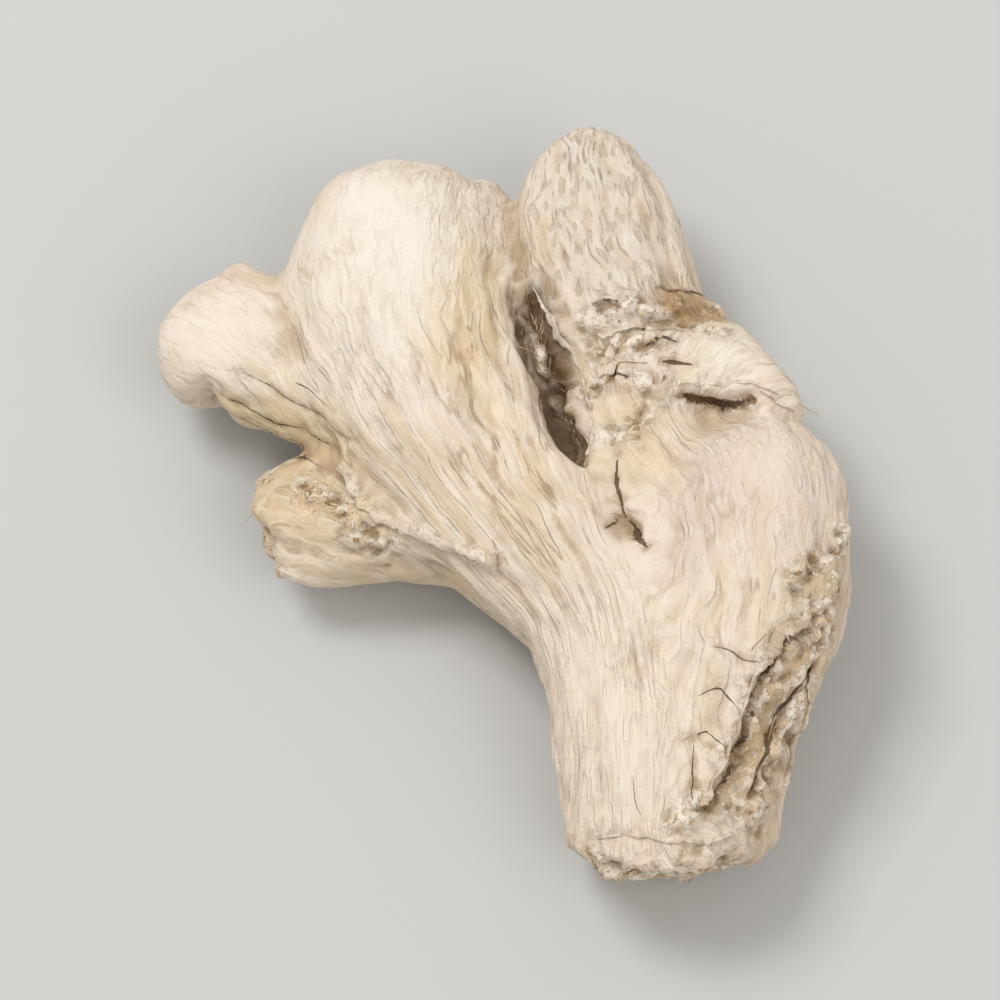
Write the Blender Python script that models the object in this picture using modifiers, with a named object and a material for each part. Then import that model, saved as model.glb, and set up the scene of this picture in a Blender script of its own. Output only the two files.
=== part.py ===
"""A dried ginger root: one branched rhizome that lies on its flattest side.

Run it with: blender --background --python part.py
The root is shaped with one Blender unit to the millimetre, and scaled to metres at the end.
"""

import math

import bmesh
import bpy
import numpy as np
from mathutils import Euler, Matrix, Vector

# Overall shape. Each lobe is a line of swollen points (x, y, z, radius) in millimetres, from the
# foot of the root outwards, so that the fibres of the skin can follow it.
LOBES = {
    "foot": [
        (14.4, -36.0, 8.0, 8.6),
        (14.6, -27.5, 8.5, 10.2),
        (13.2, -19.5, 9.0, 9.6),
        (9.4, -11.0, 9.5, 9.0),
        (3.5, -5.0, 10.0, 9.8),
        (-2.8, 2.0, 10.5, 10.5),
    ],
    "crown": [
        (-2.8, 2.0, 10.5, 10.5),
        (-7.8, 8.5, 11.0, 11.2),
        (-10.0, 16.0, 10.5, 11.8),
        (-9.6, 22.8, 9.5, 10.8),
    ],
    "crown_edge": [
        (-0.5, 4.0, 10.5, 8.0),
        (-4.0, 13.0, 11.0, 8.2),
        (-5.4, 21.0, 10.5, 7.6),
        (-2.4, 28.4, 9.5, 3.8),
    ],
    "knob": [
        (-8.8, 8.0, 10.0, 8.8),
        (-15.0, 10.8, 9.0, 7.6),
        (-20.6, 13.0, 8.5, 6.8),
        (-25.4, 14.2, 9.5, 7.4),
    ],
    "knob_tip": [(-25.0, 17.0, 10.5, 4.2), (-25.5, 22.0, 11.0, 1.4)],
    "palm": [
        (4.5, 2.0, 9.0, 8.0),
        (12.5, -8.0, 9.8, 8.6),
        (17.0, -19.0, 9.8, 9.4),
        (16.2, -35.0, 8.5, 8.6),
    ],
    "finger": [
        (15.5, -6.2, 9.5, 8.6),
        (14.7, 3.2, 8.8, 8.4),
        (12.6, 10.7, 8.2, 8.4),
        (10.8, 17.0, 8.4, 9.0),
        (9.4, 22.4, 11.0, 8.4),
        (8.4, 26.3, 13.0, 7.3),
        (7.9, 30.2, 14.0, 5.3),
    ],
    "collar_flap": [
        (14.5, 9.0, 11.5, 6.4),
        (20.0, 10.2, 13.0, 5.0),
        (23.3, 8.6, 13.2, 3.6),
        (26.6, 6.2, 12.5, 1.8),
    ],
    "shoulder": [
        (18.0, -35.0, 8.0, 7.0),
        (18.2, -28.5, 8.5, 8.4),
        (19.4, -23.2, 9.5, 8.4),
        (21.0, -17.4, 11.0, 9.6),
        (22.9, -11.0, 12.0, 9.7),
        (23.4, -3.9, 12.5, 9.2),
    ],
    "stub": [(-1.5, -2.0, 8.5, 8.2), (-9.8, -1.6, 7.5, 7.2), (-18.0, -2.8, 7.0, 6.4)],
}
RINGS = {
    "collar_ring": [
        (8.0, 14.2, 13.8, 1.9),
        (11.5, 15.6, 14.9, 2.1),
        (15.4, 15.4, 14.2, 2.1),
        (19.3, 15.8, 11.0, 2.0),
    ],
}
FLATNESS = 0.88  # height of a lobe over its width
BALL_STEP = 0.22  # distance between the balls of a lobe, in ball radii
VOXEL = 0.5
BLEND_ROUNDS = 22
EDGE_ROUNDS = 9

# The torn cleft between the crown and the finger, and the ends where the root was broken off:
# (centre, half sizes, turns about X, Y and Z in degrees).
CLEFTS = {
    "cleft_wide": ((5.4, 4.8, 18.0), (1.8, 6.4, 9.5), (0.0, 0.0, 22.0)),
    "cleft_narrow": ((2.0, 12.8, 18.0), (0.9, 7.4, 6.8), (0.0, 0.0, 17.0)),
}
BREAKS = {
    "foot_break_left": ((13.6, -46.7, 3.0), (20.0, 10.0, 25.0), (24.0, 0.0, -14.0)),
    "foot_break_right": ((18.6, -46.5, 3.0), (20.0, 10.0, 25.0), (18.0, 0.0, 17.0)),
    "stub_break": ((-30.5, -5.5, 3.0), (10.0, 14.0, 20.0), (0.0, -24.0, 16.0)),
}

# Scars where a finger joins, where a leaf scale was or where the root was broken off: how far the
# crumbs reach, how high they stand, and points of a line on the skin.
SCARS = {
    "collar": (
        2.0,
        0.9,
        [
            (8.0, 14.2, 15.7),
            (10.1, 15.1, 16.3),
            (11.9, 15.7, 16.8),
            (15.4, 14.9, 16.0),
            (17.5, 17.0, 13.6),
            (20.0, 16.0, 11.0),
        ],
    ),
    "collar_foot": (
        2.0,
        0.9,
        [(8.0, 7.8, 13.9), (12.6, 7.5, 16.4), (17.8, 6.1, 15.2), (20.6, 6.1, 14.3), (26.2, 5.8, 15.2)],
    ),
    "seam": (
        1.8,
        0.9,
        [
            (31.1, -7.5, 16.3),
            (29.4, -14.2, 17.9),
            (26.2, -19.6, 18.1),
            (23.1, -25.3, 16.4),
            (21.7, -28.6, 16.1),
            (18.2, -35.0, 16.2),
        ],
    ),
    "seam_strip": (2.8, 0.8, [(29.7, -17.1, 15.0), (25.9, -25.8, 13.5), (23.1, -34.4, 13.0)]),
    "belly_edge": (
        1.7,
        0.9,
        [(-15.4, 0.0, 13.5), (-11.6, -5.3, 13.6), (-6.7, -7.7, 14.8), (-1.1, -10.4, 16.0)],
    ),
    "foot_end": (
        4.5,
        0.9,
        [(9.5, -37.5, 5.0), (20.5, -37.5, 5.0), (20.5, -37.5, 11.0), (9.5, -37.5, 11.0), (9.5, -37.5, 5.0)],
    ),
    "stub_end": (4.5, 1.1, [(-21.5, -6.0, 7.0), (-21.5, 0.0, 7.0)]),
    "under_ring": (1.6, 0.8, [(-17.0, 22.0, 4.0), (-10.0, 19.5, 1.0), (0.0, 22.0, 3.0)]),
    "under_scar": (3.0, 0.8, [(3.0, -4.0, 1.0), (7.0, 1.0, 1.5)]),
    "under_seam": (1.8, 0.8, [(6.0, -25.0, 3.0), (14.0, -22.0, 0.5), (23.0, -19.0, 3.0), (30.0, -14.0, 8.0)]),
}
CRUMB_SIZE = 1.9

# Dents and small holes: (place on the skin, radius, depth).
DENTS = {
    "palm_notch": ((11.2, -6.9, 16.7), 1.7, 2.0),
    "palm_notch_tail": ((10.7, -3.5, 16.4), 1.5, 1.0),
    "flap_crevice_left": ((19.0, 5.4, 14.2), 1.4, 0.9),
    "flap_crevice": ((21.5, 5.4, 14.0), 1.4, 1.0),
    "collar_slit": ((16.1, 9.6, 16.0), 1.3, 1.0),
    "end_hole": ((23.1, -35.1, 12.7), 1.5, 1.5),
    "end_pit": ((17.5, -36.9, 14.4), 1.3, 1.0),
    "belly_hollow": ((-3.9, -2.0, 17.7), 5.0, 0.7),
    "under_hollow": ((8.0, -12.0, 4.0), 5.0, 0.8),
}

# Tops of the lobes where the skin stayed smooth: (middle, reach, how smooth).
SMOOTH_TOPS = {
    "crown": ((-11.3, 21.0, 20.0), 10.0, 0.85),
    "knob": ((-26.5, 12.5, 15.0), 6.0, 0.8),
    "flap": ((20.7, 11.0, 17.0), 4.0, 0.9),
    "shoulder": ((23.5, -4.5, 20.0), 8.0, 0.75),
    "foot": ((12.0, -27.0, 16.5), 7.0, 0.6),
}

# Folds of the shrunken skin, which run along the lobes.
FOLD_SIZE = 2.5
FOLD_REACH = 9.0
FOLD_STEPS = 8
FOLD_DEPTH = 0.7
FOLD_WIDTH = 0.35
LUMP_SIZE = 7.0
LUMP_HEIGHT = 0.6

TRIANGLES = 11400
GROUND_HEIGHT = 0.9  # height at which the ground plane cuts the lobes' undersides
MM = 0.001


def clear_scene():
    for obj in list(bpy.data.objects):
        bpy.data.objects.remove(obj, do_unlink=True)


def collection(name):
    made = bpy.data.collections.new(name)
    bpy.context.scene.collection.children.link(made)
    return made


def object_of(name, mesh, owner):
    obj = bpy.data.objects.new(name, mesh)
    owner.objects.link(obj)
    return obj


def evaluated_mesh(obj):
    graph = bpy.context.evaluated_depsgraph_get()
    return bpy.data.meshes.new_from_object(obj.evaluated_get(graph))


def vertex_array(mesh):
    points = np.empty(len(mesh.vertices) * 3, np.float32)
    mesh.vertices.foreach_get("co", points)
    return points.reshape(-1, 3).astype(float)


def normal_array(mesh):
    normals = np.empty(len(mesh.vertices) * 3, np.float32)
    mesh.vertex_normals.foreach_get("vector", normals)
    return normals.reshape(-1, 3).astype(float)


def set_vertices(mesh, points):
    mesh.vertices.foreach_set("co", points.astype(np.float32).ravel())
    mesh.update()


def swollen_line(points):
    """Places and radii of balls that follow a lobe's line closely."""
    for start, end in zip(points, points[1:]):
        start, end = np.array(start), np.array(end)
        length = np.linalg.norm(end[:3] - start[:3])
        count = max(1, math.ceil(length / (BALL_STEP * min(start[3], end[3]))))
        for step in range(count + 1):
            share = step / count
            place = start + (end - start) * share
            yield Vector(place[:3]), float(place[3])


def lobes_mesh():
    """Every lobe as a row of overlapping, slightly flattened balls."""
    bm = bmesh.new()
    for points in [*LOBES.values(), *RINGS.values()]:
        for place, radius in swollen_line(points):
            flatten = Matrix.Diagonal((radius, radius, radius * FLATNESS, 1.0))
            bmesh.ops.create_icosphere(
                bm, subdivisions=3, radius=1.0, matrix=Matrix.Translation(place) @ flatten
            )
    mesh = bpy.data.meshes.new("lobes")
    bm.to_mesh(mesh)
    bm.free()
    return mesh


def cutter_of(name, round_shape, centre, half_sizes, turns, owner):
    bm = bmesh.new()
    turned = Euler([math.radians(turn) for turn in turns]).to_matrix().to_4x4()
    place = Matrix.Translation(centre) @ turned @ Matrix.Diagonal((*half_sizes, 1.0))
    if round_shape:
        bmesh.ops.create_uvsphere(bm, u_segments=24, v_segments=16, radius=1.0, matrix=place)
    else:
        bmesh.ops.create_cube(bm, size=2.0, matrix=place)
    mesh = bpy.data.meshes.new(name)
    bm.to_mesh(mesh)
    bm.free()
    cutter = object_of(name, mesh, owner)
    cutter.hide_render = True
    cutter.display_type = "WIRE"
    return cutter


def voxel_remesh(obj, name):
    remesh = obj.modifiers.new(name, "REMESH")
    remesh.mode = "VOXEL"
    remesh.voxel_size = VOXEL


def soften(obj, name, rounds):
    smooth = obj.modifiers.new(name, "SMOOTH")
    smooth.factor = 0.5
    smooth.iterations = rounds


def blended_body(clefts, breaks):
    """The lobes grown together into one closed skin, with the cleft and the breaks cut into it."""
    body = object_of("body", lobes_mesh(), bpy.context.scene.collection)
    voxel_remesh(body, "grow_together")
    soften(body, "blend", BLEND_ROUNDS)
    for cutter in clefts + breaks:
        cut = body.modifiers.new(cutter.name, "BOOLEAN")
        cut.operation = "DIFFERENCE"
        cut.object = cutter
    voxel_remesh(body, "even_out")
    soften(body, "round_edges", EDGE_ROUNDS)
    mesh = evaluated_mesh(body)
    bpy.data.objects.remove(body, do_unlink=True)
    return mesh


def lattice_noise(points, seed):
    """Smooth noise between -1 and 1 that changes over one unit of length."""
    cell = np.floor(points).astype(np.int64)
    share = points - cell
    share = share * share * share * (share * (share * 6 - 15) + 10)
    total = np.zeros(len(points))
    for corner in np.ndindex(2, 2, 2):
        x, y, z = (cell + corner).T
        mixed = (x * 73856093) ^ (y * 19349663) ^ (z * 83492791) ^ (seed * 2654435761)
        mixed = ((mixed ^ (mixed >> 13)) * 1274126177) & 0xFFFFFFFF
        value = (mixed ^ (mixed >> 16)) / 0x7FFFFFFF - 1
        weight = np.prod(np.where(corner, share, 1 - share), axis=1)
        total += weight * value
    return total


def lobe_segments():
    """Start, end and radii of every straight stretch of the lobes' lines."""
    rows = [(a, b) for points in LOBES.values() for a, b in zip(points, points[1:])]
    starts, ends = (np.array(side, float) for side in zip(*rows))
    return starts, ends


def grain(points):
    """Direction of the fibres at each point: along the nearest lobes, and flat to their skin."""
    starts, ends = lobe_segments()
    along = np.zeros_like(points)
    outward = np.zeros_like(points)
    for start, end in zip(starts, ends):
        line = end[:3] - start[:3]
        share = np.clip((points - start[:3]) @ line / (line @ line), 0, 1)
        away = points - start[:3] - share[:, None] * line
        radius = start[3] + share * (end[3] - start[3])
        gap = np.maximum(np.linalg.norm(away, axis=1) / radius, 0.2)
        weight = gap[:, None] ** -8
        along += weight * line / np.linalg.norm(line)
        outward += weight * away / (gap * radius)[:, None]
    outward /= np.linalg.norm(outward, axis=1)[:, None] + 1e-6
    along -= (along * outward).sum(axis=1)[:, None] * outward
    return along / (np.linalg.norm(along, axis=1)[:, None] + 1e-6)


def combed_noise(points, size, reach, steps, seed):
    """Noise drawn out along the grain, as fibres are: the mean along the path through each point."""
    total = lattice_noise(points / size, seed)
    for way in (reach / steps, -reach / steps):
        walker = points.copy()
        for _ in range(steps):
            walker += way * grain(walker)
            total += lattice_noise(walker / size, seed)
    return total / total.std()


def distance_to_line(points, line):
    nearest = np.full(len(points), np.inf)
    for start, end in zip(line, line[1:]):
        start, run = np.array(start), np.array(end) - np.array(start)
        share = np.clip((points - start) @ run / (run @ run), 0, 1)
        nearest = np.minimum(nearest, np.linalg.norm(points - start - share[:, None] * run, axis=1))
    return nearest


def scar_cover(points):
    """How strong the nearest scar is at each point, from 0 to 1, and how high its crumbs stand."""
    cover = np.zeros(len(points))
    height = np.zeros(len(points))
    for reach, crumb_height, line in SCARS.values():
        strength = np.exp(-((distance_to_line(points, line) / reach) ** 2))
        height = np.where(strength > cover, crumb_height, height)
        cover = np.maximum(cover, strength)
    return cover, height


def dents(points):
    depth = np.zeros(len(points))
    for centre, radius, deepest in DENTS.values():
        gap = np.linalg.norm(points - np.array(centre), axis=1)
        depth += deepest * np.exp(-((gap / radius) ** 2))
    return depth


def smoothness(points):
    """From 0 where the skin is fully wrinkled to 1 where it has no folds."""
    smooth = np.zeros(len(points))
    for middle, reach, share in SMOOTH_TOPS.values():
        gap = np.linalg.norm(points - np.array(middle), axis=1)
        smooth = np.maximum(smooth, share * np.exp(-((gap / reach) ** 2)))
    return smooth


def shrunken_skin(mesh):
    """Lumps, folds along the lobes, dents and crumbly scars, raised and sunk along the normals."""
    points, normals = vertex_array(mesh), normal_array(mesh)
    lumps = LUMP_HEIGHT * lattice_noise(points / LUMP_SIZE, 3)
    folds = combed_noise(points, FOLD_SIZE, FOLD_REACH, FOLD_STEPS, 5)
    creases = -FOLD_DEPTH * (1 - smoothness(points)) * np.exp(-((folds / FOLD_WIDTH) ** 2))
    cover, crumb_height = scar_cover(points)
    crumbs = cover * crumb_height * (0.4 + lattice_noise(points / CRUMB_SIZE, 11))
    height = lumps + creases * (1 - cover) + crumbs - dents(points)
    set_vertices(mesh, points + normals * height[:, None])


def decimated(mesh):
    """The same skin in no more than TRIANGLES faces, larger where it is smooth."""
    obj = object_of("dense", mesh, bpy.context.scene.collection)
    fewer = obj.modifiers.new("fewer", "DECIMATE")
    fewer.use_collapse_triangulate = True
    fewer.ratio = TRIANGLES / (2 * len(mesh.polygons))
    light = evaluated_mesh(obj)
    bpy.data.objects.remove(obj, do_unlink=True)
    return light


def set_on_ground(mesh):
    """Presses the lowest spots flat and puts the origin under the middle of the root, in metres."""
    points = vertex_array(mesh)
    points[:, 2] = np.maximum(points[:, 2] - GROUND_HEIGHT, 0)
    middle = (points.min(axis=0) + points.max(axis=0)) / 2
    points[:, :2] -= middle[:2]
    set_vertices(mesh, points * MM)


def dried_skin():
    """Chalky, cream-coloured skin."""
    material = bpy.data.materials.new("dried_skin")
    material.use_nodes = True
    shader = material.node_tree.nodes["Principled BSDF"]
    shader.inputs["Base Color"].default_value = (0.77, 0.68, 0.54, 1.0)
    shader.inputs["Roughness"].default_value = 0.9
    shader.inputs["Metallic"].default_value = 0.0
    return material


def main():
    clear_scene()
    root = collection("ginger")
    cutters = collection("cutters")
    clefts = [cutter_of(name, True, *sizes, cutters) for name, sizes in CLEFTS.items()]
    breaks = [cutter_of(name, False, *sizes, cutters) for name, sizes in BREAKS.items()]
    mesh = blended_body(clefts, breaks)
    shrunken_skin(mesh)
    mesh = decimated(mesh)
    set_on_ground(mesh)
    mesh.shade_smooth()
    mesh.materials.clear()
    mesh.materials.append(dried_skin())
    mesh.name = "ginger_root"
    object_of("ginger_root", mesh, root)


main()
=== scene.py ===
import math

import bmesh
import bpy
import numpy as np
from mathutils import Euler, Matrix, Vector


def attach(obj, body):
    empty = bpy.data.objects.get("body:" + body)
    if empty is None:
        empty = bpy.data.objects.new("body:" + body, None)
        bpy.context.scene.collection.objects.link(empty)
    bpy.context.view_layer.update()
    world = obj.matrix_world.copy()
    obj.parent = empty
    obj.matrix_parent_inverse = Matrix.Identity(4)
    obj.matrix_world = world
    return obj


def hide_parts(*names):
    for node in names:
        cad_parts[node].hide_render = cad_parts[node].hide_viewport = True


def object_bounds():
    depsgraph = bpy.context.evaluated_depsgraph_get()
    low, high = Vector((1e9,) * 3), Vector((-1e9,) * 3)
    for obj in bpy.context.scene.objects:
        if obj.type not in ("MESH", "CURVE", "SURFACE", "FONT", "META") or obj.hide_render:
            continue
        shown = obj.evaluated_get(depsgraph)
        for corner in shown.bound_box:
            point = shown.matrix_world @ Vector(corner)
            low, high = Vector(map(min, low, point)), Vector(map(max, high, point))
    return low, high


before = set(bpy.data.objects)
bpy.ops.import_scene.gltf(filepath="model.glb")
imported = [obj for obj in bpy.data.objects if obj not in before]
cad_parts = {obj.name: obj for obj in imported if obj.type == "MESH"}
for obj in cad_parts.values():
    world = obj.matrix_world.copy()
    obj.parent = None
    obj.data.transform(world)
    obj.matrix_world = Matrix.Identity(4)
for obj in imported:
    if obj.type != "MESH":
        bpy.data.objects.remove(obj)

solid_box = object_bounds()

# The root: one dried and limed ginger rhizome with a thin, chalky, cream skin. The skin has shrunk
# into folds along the lobes. The root is torn open in a cleft, and broken off at its foot and at a
# side lobe. Sizes are in millimetres until the mesh is finished.
MM = 0.001
LINES_FROM = np.array([0.285, 2.641, -0.9])  # from the lobes' own zero to the row's origin
LOBE_LINES = [
    [(14.4, -36, 8, 8.6), (14.6, -27.5, 8.5, 10.2), (13.2, -19.5, 9, 9.6), (9.4, -11, 9.5, 9),
     (3.5, -5, 10, 9.8)],
    [(3.5, -5, 10, 9.8), (-2.8, 2, 10.5, 10.5), (-7.8, 8.5, 11, 11.2), (-10, 16, 10.5, 11.8),
     (-9.6, 22.8, 9.5, 10.8)],
    [(-0.5, 4, 10.5, 8), (-4, 13, 11, 8.2), (-5.4, 21, 10.5, 7.6), (-2.4, 28.4, 9.5, 3.8)],
    [(-8.8, 8, 10, 8.8), (-15, 10.8, 9, 7.6), (-20.6, 13, 8.5, 6.8), (-25.4, 14.2, 9.5, 7.4)],
    [(-25, 17, 10.5, 4.2), (-25.5, 22, 11, 1.4)],
    [(4.5, 2, 9, 8), (12.5, -8, 9.8, 8.6), (17, -19, 9.8, 9.4), (16.2, -35, 8.5, 8.6)],
    [(15.5, -6.2, 9.5, 8.6), (14.7, 3.2, 8.8, 8.4), (12.6, 10.7, 8.2, 8.4), (10.8, 17, 8.4, 9)],
    [(10.8, 17, 8.4, 9), (9.4, 22.4, 11, 8.4), (8.4, 26.3, 13, 7.3), (7.9, 30.2, 14, 5.3)],
    [(14.5, 9, 11.5, 6.4), (20, 10.2, 13, 5), (23.3, 8.6, 13.2, 3.6), (26.6, 6.2, 12.5, 1.8)],
    [(18, -35, 8, 7), (18.2, -28.5, 8.5, 8.4), (19.4, -23.2, 9.5, 8.4), (21, -17.4, 11, 9.6)],
    [(21, -17.4, 11, 9.6), (22.9, -11, 12, 9.7), (23.4, -3.9, 12.5, 9.2)],
    [(-1.5, -2, 8.5, 8.2), (-9.8, -1.6, 7.5, 7.2), (-18, -2.8, 7, 6.4)],
]
SKIN_VOXEL = 0.354  # the fine skin's face size
FACET_ROUNDS = 23  # rounds of smoothing that take the solid's facets away

# Crumbly scars on the skin: how far the crumbs reach, how high they stand, and the points passed.
SCARS = {
    "collar": (
        1.7,
        0.55,
        [(8.3, 16.8, 15.2), (10.4, 17.8, 15.6), (12.2, 18.1, 16.7), (15.7, 17.3, 15.9),
         (17.8, 18.6, 15.5)],
    ),
    "collar_end": (1.5, 0.5, [(17.8, 18.6, 15.5), (20.0, 19.5, 12.2), (21.5, 18.5, 9.5)]),
    "collar_middle": (1.6, 0.5, [
        (9.7, 13.7, 14.5), (12.2, 14.1, 15.3), (14.3, 14.8, 15.5), (17.4, 15.9, 15.4)]),
    "collar_rim": (1.0, 0.5, [(14.3, 14.8, 15.4), (17.4, 15.9, 15.3), (20.9, 15.3, 15.9)]),
    "collar_foot": (1.5, 0.45, [
        (8.3, 10.0, 14.2), (10.4, 11.4, 14.5), (12.9, 10.2, 15.7), (15.3, 9.5, 15.6)]),
    "flap_crevice": (0.8, 0.3, [
        (15.3, 9.5, 15.6), (18.1, 8.8, 14.4), (20.9, 8.9, 13.2), (23.7, 9.0, 14.0)]),
    "round_scar": (
        1.2,
        0.5,
        [(29.3, -8.1, 17.4), (27.0, -10.8, 18.1), (29.0, -13.1, 16.1), (31.2, -10.4, 16.5),
         (29.3, -8.1, 17.4)],
    ),
    "seam_start": (1.2, 0.5, [(32.1, -4.7, 15.1), (31.4, -6.8, 15.6), (30.0, -9.4, 17.3)]),
    "seam": (
        2.0,
        0.55,
        [(30.0, -13.2, 15.5), (25.9, -16.4, 17.2), (24.1, -20.7, 17.0), (22.8, -24.6, 15.3),
         (20.9, -28.6, 15.4)],
    ),
    "seam_strip": (2.4, 0.45, [
        (30.0, -14.4, 14.9), (27.9, -18.9, 14.7), (26.2, -23.2, 13.2), (23.4, -31.7, 12.9)]),
    "belly_edge": (0.9, 0.35, [
        (-15.1, 2.7, 12.7), (-11.3, -2.5, 12.6), (-6.4, -5.0, 13.9), (-0.8, -7.8, 15.4)]),
    "foot_end": (3.4, 0.5, [
        (9.5, -36, 4), (20.5, -36, 4), (20.5, -36, 11), (9.5, -36, 11), (9.5, -36, 4)]),
    "foot_edge": (1.8, 0.4, [(15.9, -33.3, 14.8), (18.5, -31.0, 15.0), (22.4, -32.0, 13.6)]),
    "stub_end": (3.6, 0.5, [(-22.2, -3.5, 6.0), (-22.2, 2.5, 6.0)]),
    "stub_base": (2.2, 0.4, [(-18.5, 1.5, 11.0), (-15.0, -1.0, 12.0), (-11.5, -4.2, 11.4)]),
    "cleft_bank": (1.5, 0.4, [
        (3.0, 15.5, 14.2), (4.4, 11.4, 13.6), (5.6, 7.6, 12.9), (7.0, 4.2, 12.6)]),
    "neck_scar": (1.6, 0.35, [(9.4, 5.0, 13.8), (11.5, 5.4, 14.3), (13.4, 7.2, 14.8)]),
    "under_ring": (1.4, 0.4, [(-16.7, 24.7, 3.1), (-9.7, 22.2, 0.1), (0.3, 24.7, 2.1)]),
    "under_scar": (2.6, 0.4, [(3.3, -1.3, 0.5), (7.3, 3.7, 0.6)]),
    "under_seam": (1.5, 0.4, [
        (6.3, -22.3, 2.1), (14.3, -19.3, 0.0), (23.3, -16.3, 2.1), (30.3, -11.3, 7.1)]),
}

# Creases (depth above 0) and raised edges (below 0): how far each reaches, its depth, the width of the
# crack along its bottom, which is coloured dark as painted shade, and its points.
CREASES = {
    "seam_groove": (
        0.75,
        0.9,
        0.9,
        [(27.9, -15.0, 16.3), (25.7, -16.4, 17.7), (24.1, -20.7, 17.3), (22.8, -24.6, 15.3),
         (19.1, -32.1, 15.1)],
    ),
    "seam_branch": (0.5, 0.4, 0.5, [
        (29.6, -16.8, 14.4), (26.8, -20.8, 14.6), (24.4, -26.2, 13.9), (23.0, -30.6, 13.3)]),
    "seam_sliver": (0.6, -0.7, 0.0, [
        (28.3, -19.9, 13.5), (27.6, -21.6, 12.9), (26.7, -24.3, 10.4), (25.7, -28.3, 9.9)]),
    "cleft_core": (0.9, 1.0, 0.0, [
        (3.0, 19.4, 13.5), (4.8, 14.5, 12.6), (6.4, 10.4, 11.6), (7.6, 6.6, 11.0)]),
    "cleft_lip": (0.8, -0.7, 0.0, [
        (2.9, 22.3, 14.0), (4.6, 18.9, 14.0), (6.4, 15.9, 14.0), (8.4, 11.0, 14.6)]),
    "cleft_foot": (0.6, -0.5, 0.0, [(8.4, 11.0, 14.6), (9.3, 7.0, 14.3), (9.4, 4.0, 13.8)]),
    "brown_window": (1.3, 0.6, 0.0, [(18.2, 18.4, 15.0), (19.5, 18.7, 14.0)]),
    "window_rim": (0.5, -0.45, 0.0, [
        (15.8, 18.6, 15.8), (17.2, 20.4, 15.0), (19.6, 20.6, 12.2), (21.2, 18.8, 12.4)]),
    "slit": (0.4, 0.4, 0.5, [(15.0, 12.3, 15.3), (16.6, 12.4, 15.1), (18.2, 11.9, 15.5)]),
    "slit_above": (0.4, 0.3, 0.32, [(13.2, 14.0, 15.2), (15.2, 14.6, 15.2), (16.8, 14.2, 15.4)]),
    "collar_crack": (0.4, 0.3, 0.4, [(10.2, 13.0, 14.8), (11.0, 11.6, 14.7), (12.4, 11.0, 15.2)]),
    "flap_shadow": (0.5, 0.7, 0.8, [
        (17.0, 9.0, 15.0), (19.2, 8.9, 13.7), (20.9, 8.8, 13.2), (23.6, 9.0, 14.2)]),
    "flap_edge": (0.7, -0.7, 0.0, [
        (17.0, 9.8, 15.4), (19.0, 10.3, 14.8), (21.0, 10.0, 14.4), (23.8, 10.2, 14.9)]),
    "neck_crack": (0.4, 0.2, 0.32, [
        (11.1, 3.4, 14.6), (10.9, 0.2, 14.9), (11.2, -1.4, 14.9), (11.4, -3.4, 15.1)]),
    "neck_notch": (0.7, 0.7, 0.8, [(11.3, -3.2, 15.0), (12.2, -4.4, 15.3), (13.4, -6.4, 16.3)]),
    "neck_branch": (0.4, 0.3, 0.3, [(9.6, -4.4, 15.6), (10.6, -3.9, 15.2), (11.7, -4.0, 15.1)]),
    "knob_fold_a": (0.5, 0.4, 0.18, [
        (-26.7, 11.2, 11.3), (-23.9, 9.6, 10.4), (-21.1, 8.4, 9.6), (-15.5, 4.6, 12.6)]),
    "knob_fold_b": (0.5, 0.3, 0.14, [
        (-24.9, 12.2, 13.4), (-21.1, 10.4, 12.2), (-17.6, 7.8, 13.0), (-14.1, 4.5, 14.7)]),
    "knob_fold_c": (0.5, 0.4, 0.20, [
        (-26.0, 10.1, 9.0), (-22.5, 8.4, 7.7), (-19.0, 6.0, 8.4), (-16.2, 3.4, 10.6)]),
    "knob_fold_d": (0.4, 0.2, 0.12, [(-22.5, 13.2, 14.6), (-19.0, 10.4, 14.2), (-15.8, 7.2, 15.2)]),
    "seam_fan_a": (0.5, 0.35, 0.13, [(24.0, -19.0, 17.6), (21.6, -17.4, 18.1), (19.4, -17.0, 18.2)]),
    "seam_fan_b": (0.5, 0.35, 0.14, [(22.6, -23.0, 16.4), (20.4, -21.2, 17.2), (17.8, -21.4, 17.2)]),
    "seam_fan_c": (0.5, 0.35, 0.12, [(21.4, -26.6, 15.9), (19.0, -24.8, 16.4), (16.4, -25.6, 16.3)]),
    "foot_crease_a": (0.5, 0.35, 0.13, [(18.4, -32.8, 14.6), (17.3, -28.4, 15.9), (17.8, -24.8, 16.2)]),
    "foot_crease_b": (0.4, 0.2, 0.12, [(12.6, -32.4, 14.8), (12.1, -29.0, 15.8)]),
    "foot_crease_c": (0.5, 0.35, 0.0, [(20.6, -30.2, 15.4), (18.6, -26.6, 16.4), (19.6, -22.8, 17.2)]),
    "foot_crease_d": (0.5, 0.35, 0.0, [(15.4, -33.0, 14.8), (16.4, -30.6, 15.4), (19.2, -29.6, 15.6)]),
}
CLEFT = [(2.0, 19.1, 13.3), (4.1, 14.0, 13.8), (5.9, 10.1, 11.5), (7.3, 6.3, 10.4), (8.1, 3.0, 11.6)]


def vertex_array(mesh):
    points = np.empty(len(mesh.vertices) * 3, np.float32)
    mesh.vertices.foreach_get("co", points)
    return points.reshape(-1, 3).astype(float)


def normal_array(mesh):
    normals = np.empty(len(mesh.vertices) * 3, np.float32)
    mesh.vertex_normals.foreach_get("vector", normals)
    return normals.reshape(-1, 3).astype(float)


def set_vertices(mesh, points):
    mesh.vertices.foreach_set("co", points.astype(np.float32).ravel())
    mesh.update()


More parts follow.
